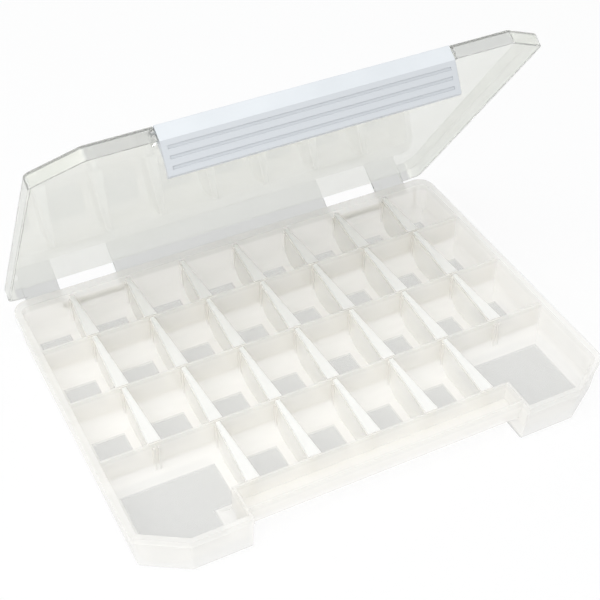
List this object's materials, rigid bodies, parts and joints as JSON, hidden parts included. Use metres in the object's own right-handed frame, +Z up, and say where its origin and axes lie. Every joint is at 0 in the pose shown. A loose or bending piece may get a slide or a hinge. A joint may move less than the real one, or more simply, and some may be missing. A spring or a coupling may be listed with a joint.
{
  "type": "divided sewing organiser case",
  "caption": "Flat frosted plastic case divided into compartments for sewing notions, with lift-out dividers, a hinged clear lid and a wide ribbed front latch",
  "frame": {"origin": "On the table plane under the middle of the tray's outline", "axes": "X runs to the right along the front edge, Y from the front latch to the back hinge, Z up"},
  "size_m": [0.356, 0.2817, 0.2452],
  "materials": {
    "frosted_tray": "frosted translucent",
    "frosted_divider": "frosted translucent",
    "clear_lid": "clear",
    "white_latch": "satin white"
  },
  "bodies": {
    "base": {"base_tray": "frosted_tray"},
    "lid": {"clear_lid": "clear_lid"},
    "latch": {"front_latch": "white_latch"},
    "divider_back_row_1_body": {"divider_back_row_1": "frosted_divider"},
    "divider_back_row_2_body": {"divider_back_row_2": "frosted_divider"},
    "divider_back_row_3_body": {"divider_back_row_3": "frosted_divider"},
    "divider_back_row_4_body": {"divider_back_row_4": "frosted_divider"},
    "divider_back_row_5_body": {"divider_back_row_5": "frosted_divider"},
    "divider_back_row_6_body": {"divider_back_row_6": "frosted_divider"},
    "divider_back_row_7_body": {"divider_back_row_7": "frosted_divider"},
    "divider_second_row_1_body": {"divider_second_row_1": "frosted_divider"},
    "divider_second_row_2_body": {"divider_second_row_2": "frosted_divider"},
    "divider_second_row_3_body": {"divider_second_row_3": "frosted_divider"},
    "divider_second_row_4_body": {"divider_second_row_4": "frosted_divider"},
    "divider_second_row_5_body": {"divider_second_row_5": "frosted_divider"},
    "divider_second_row_6_body": {"divider_second_row_6": "frosted_divider"},
    "divider_second_row_7_body": {"divider_second_row_7": "frosted_divider"},
    "divider_third_row_1_body": {"divider_third_row_1": "frosted_divider"},
    "divider_third_row_2_body": {"divider_third_row_2": "frosted_divider"},
    "divider_third_row_3_body": {"divider_third_row_3": "frosted_divider"},
    "divider_third_row_4_body": {"divider_third_row_4": "frosted_divider"},
    "divider_third_row_5_body": {"divider_third_row_5": "frosted_divider"},
    "divider_third_row_6_body": {"divider_third_row_6": "frosted_divider"},
    "divider_third_row_7_body": {"divider_third_row_7": "frosted_divider"},
    "divider_front_row_1_body": {"divider_front_row_1": "frosted_divider"},
    "divider_front_row_2_body": {"divider_front_row_2": "frosted_divider"},
    "divider_front_row_3_body": {"divider_front_row_3": "frosted_divider"},
    "divider_front_row_4_body": {"divider_front_row_4": "frosted_divider"},
    "divider_front_row_5_body": {"divider_front_row_5": "frosted_divider"}
  },
  "joints": [
    {"name": "lid_hinge", "type": "hinge", "parent": "base", "child": "lid", "pos_m": [0, 0.1284, 0.0185], "axis": [-1, 0, 0], "range_deg": [-55, 55]},
    {"name": "latch_pivot", "type": "hinge", "parent": "lid", "child": "latch", "pos_m": [0, -0.00125, 0.23975], "axis": [-1, 0, 0], "range_deg": [0, 70]},
    {"name": "divider_back_row_1_lift", "type": "slide", "parent": "base", "child": "divider_back_row_1_body", "axis": [0, 0, 1], "range_m": [0, 0.034]},
    {"name": "divider_back_row_2_lift", "type": "slide", "parent": "base", "child": "divider_back_row_2_body", "axis": [0, 0, 1], "range_m": [0, 0.034]},
    {"name": "divider_back_row_3_lift", "type": "slide", "parent": "base", "child": "divider_back_row_3_body", "axis": [0, 0, 1], "range_m": [0, 0.034]},
    {"name": "divider_back_row_4_lift", "type": "slide", "parent": "base", "child": "divider_back_row_4_body", "axis": [0, 0, 1], "range_m": [0, 0.034]},
    {"name": "divider_back_row_5_lift", "type": "slide", "parent": "base", "child": "divider_back_row_5_body", "axis": [0, 0, 1], "range_m": [0, 0.034]},
    {"name": "divider_back_row_6_lift", "type": "slide", "parent": "base", "child": "divider_back_row_6_body", "axis": [0, 0, 1], "range_m": [0, 0.034]},
    {"name": "divider_back_row_7_lift", "type": "slide", "parent": "base", "child": "divider_back_row_7_body", "axis": [0, 0, 1], "range_m": [0, 0.034]},
    {"name": "divider_second_row_1_lift", "type": "slide", "parent": "base", "child": "divider_second_row_1_body", "axis": [0, 0, 1], "range_m": [0, 0.034]},
    {"name": "divider_second_row_2_lift", "type": "slide", "parent": "base", "child": "divider_second_row_2_body", "axis": [0, 0, 1], "range_m": [0, 0.034]},
    {"name": "divider_second_row_3_lift", "type": "slide", "parent": "base", "child": "divider_second_row_3_body", "axis": [0, 0, 1], "range_m": [0, 0.034]},
    {"name": "divider_second_row_4_lift", "type": "slide", "parent": "base", "child": "divider_second_row_4_body", "axis": [0, 0, 1], "range_m": [0, 0.034]},
    {"name": "divider_second_row_5_lift", "type": "slide", "parent": "base", "child": "divider_second_row_5_body", "axis": [0, 0, 1], "range_m": [0, 0.034]},
    {"name": "divider_second_row_6_lift", "type": "slide", "parent": "base", "child": "divider_second_row_6_body", "axis": [0, 0, 1], "range_m": [0, 0.034]},
    {"name": "divider_second_row_7_lift", "type": "slide", "parent": "base", "child": "divider_second_row_7_body", "axis": [0, 0, 1], "range_m": [0, 0.034]},
    {"name": "divider_third_row_1_lift", "type": "slide", "parent": "base", "child": "divider_third_row_1_body", "axis": [0, 0, 1], "range_m": [0, 0.034]},
    {"name": "divider_third_row_2_lift", "type": "slide", "parent": "base", "child": "divider_third_row_2_body", "axis": [0, 0, 1], "range_m": [0, 0.034]},
    {"name": "divider_third_row_3_lift", "type": "slide", "parent": "base", "child": "divider_third_row_3_body", "axis": [0, 0, 1], "range_m": [0, 0.034]},
    {"name": "divider_third_row_4_lift", "type": "slide", "parent": "base", "child": "divider_third_row_4_body", "axis": [0, 0, 1], "range_m": [0, 0.034]},
    {"name": "divider_third_row_5_lift", "type": "slide", "parent": "base", "child": "divider_third_row_5_body", "axis": [0, 0, 1], "range_m": [0, 0.034]},
    {"name": "divider_third_row_6_lift", "type": "slide", "parent": "base", "child": "divider_third_row_6_body", "axis": [0, 0, 1], "range_m": [0, 0.034]},
    {"name": "divider_third_row_7_lift", "type": "slide", "parent": "base", "child": "divider_third_row_7_body", "axis": [0, 0, 1], "range_m": [0, 0.034]},
    {"name": "divider_front_row_1_lift", "type": "slide", "parent": "base", "child": "divider_front_row_1_body", "axis": [0, 0, 1], "range_m": [0, 0.034]},
    {"name": "divider_front_row_2_lift", "type": "slide", "parent": "base", "child": "divider_front_row_2_body", "axis": [0, 0, 1], "range_m": [0, 0.034]},
    {"name": "divider_front_row_3_lift", "type": "slide", "parent": "base", "child": "divider_front_row_3_body", "axis": [0, 0, 1], "range_m": [0, 0.034]},
    {"name": "divider_front_row_4_lift", "type": "slide", "parent": "base", "child": "divider_front_row_4_body", "axis": [0, 0, 1], "range_m": [0, 0.034]},
    {"name": "divider_front_row_5_lift", "type": "slide", "parent": "base", "child": "divider_front_row_5_body", "axis": [0, 0, 1], "range_m": [0, 0.034]}
  ]
}
